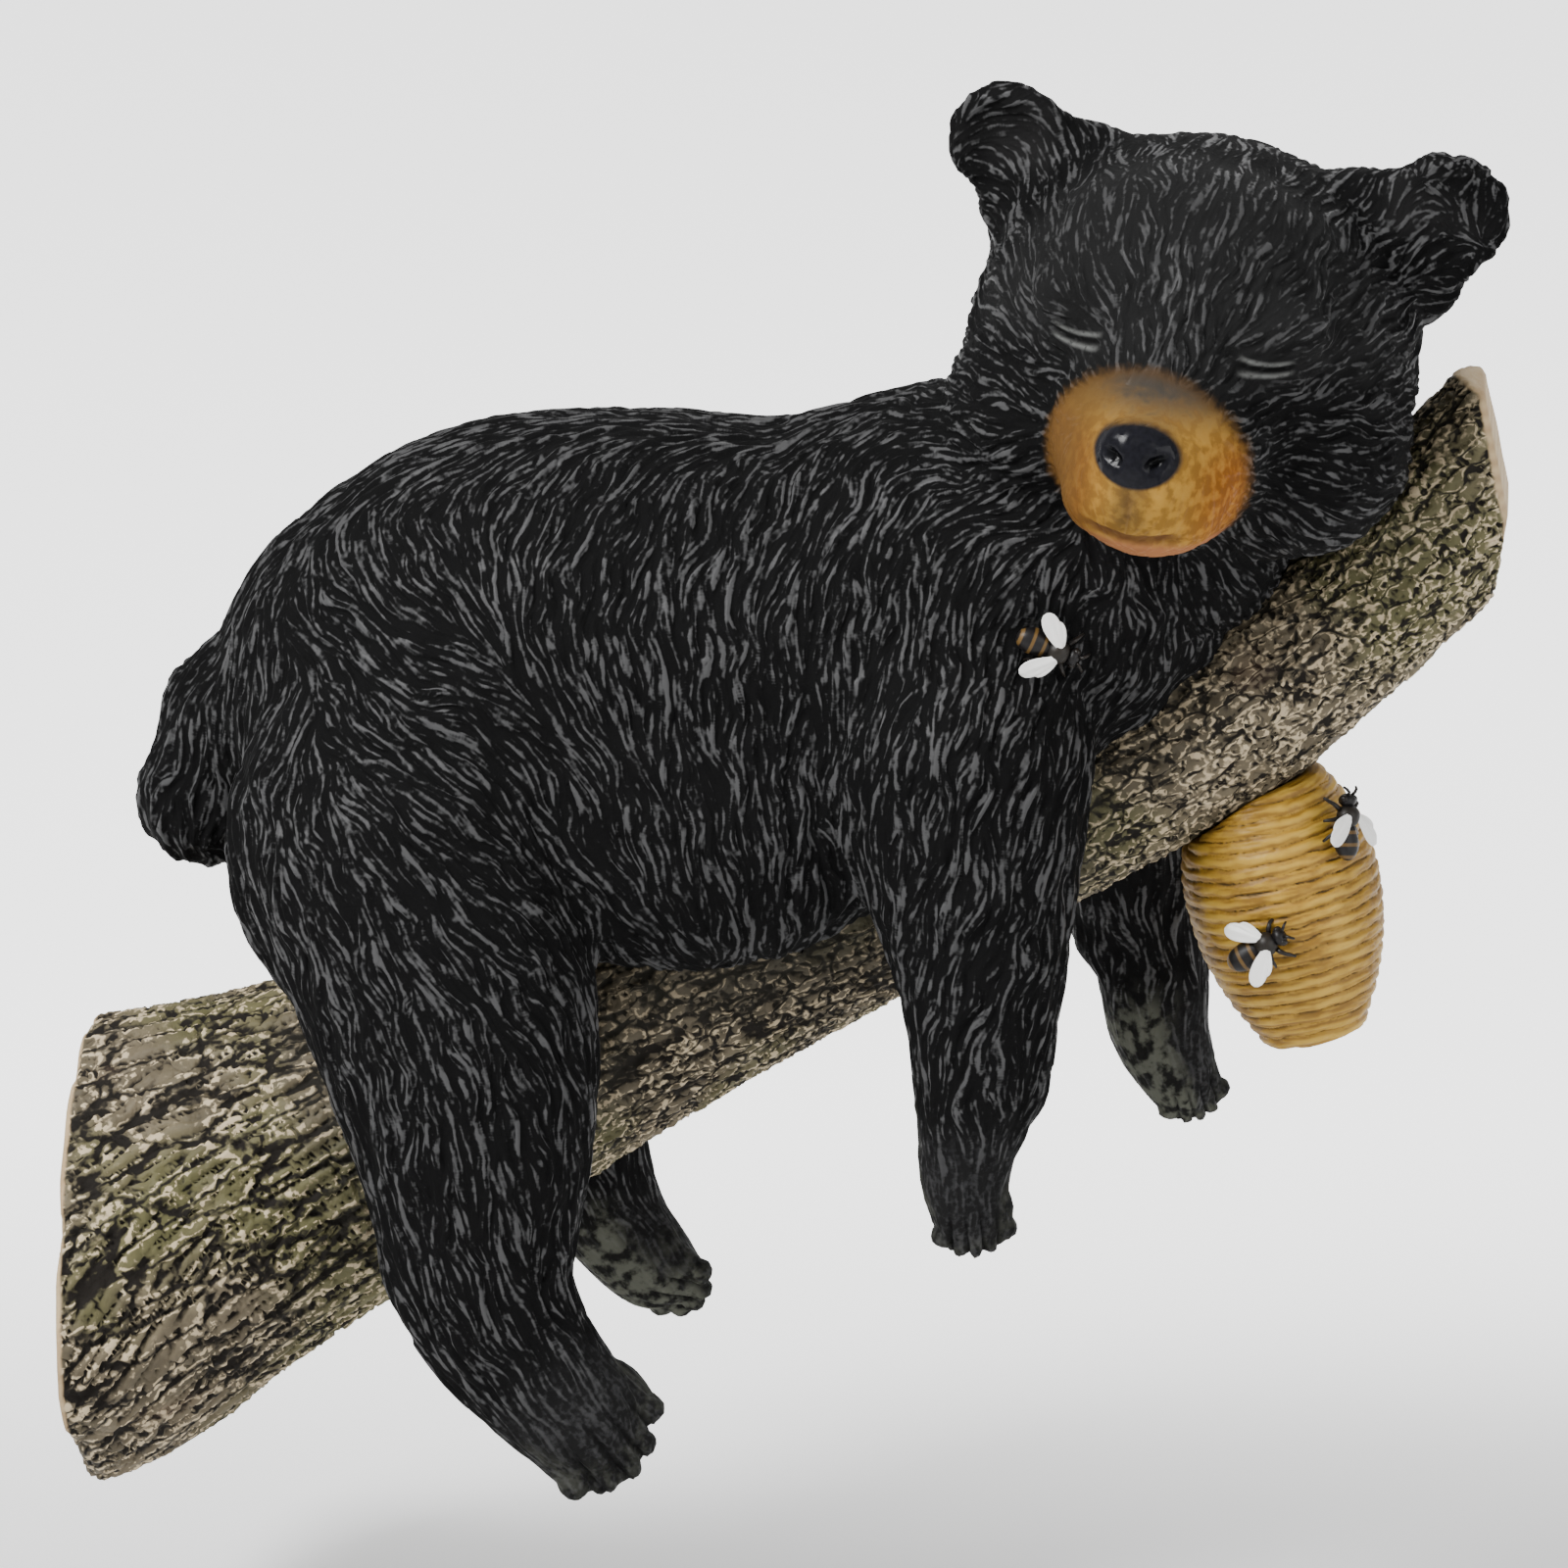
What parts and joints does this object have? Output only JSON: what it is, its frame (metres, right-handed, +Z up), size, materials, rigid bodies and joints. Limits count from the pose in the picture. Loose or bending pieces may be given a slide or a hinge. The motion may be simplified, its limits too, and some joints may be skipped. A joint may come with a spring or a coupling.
{
  "type": "bear statue",
  "caption": "Hanging cast statue of a black bear cub asleep along a sawn tree limb, with a straw skep below the limb and bees.",
  "frame": {"origin": "centre of the limb's sawn butt face, which lies flat against the trunk or wall it hangs on", "axes": "+X out from the wall along the limb's reach, +Z up, -Y towards the side that the cub faces"},
  "size_m": [0.3193, 0.1661, 0.327],
  "materials": {
    "coat": "black painted resin with grey dry-brushed fur and a tan muzzle",
    "bark": "grey-brown painted resin with dark furrows and a green wash",
    "straw": "golden painted resin with brown in the grooves",
    "bee": "dark painted resin with yellow bands and white wings"
  },
  "bodies": {
    "root": {"bear": "coat", "limb": "bark", "hive": "straw", "bee_on_chest": "bee", "bee_on_hive_front": "bee", "bee_on_hive_side": "bee"}
  },
  "joints": []
}
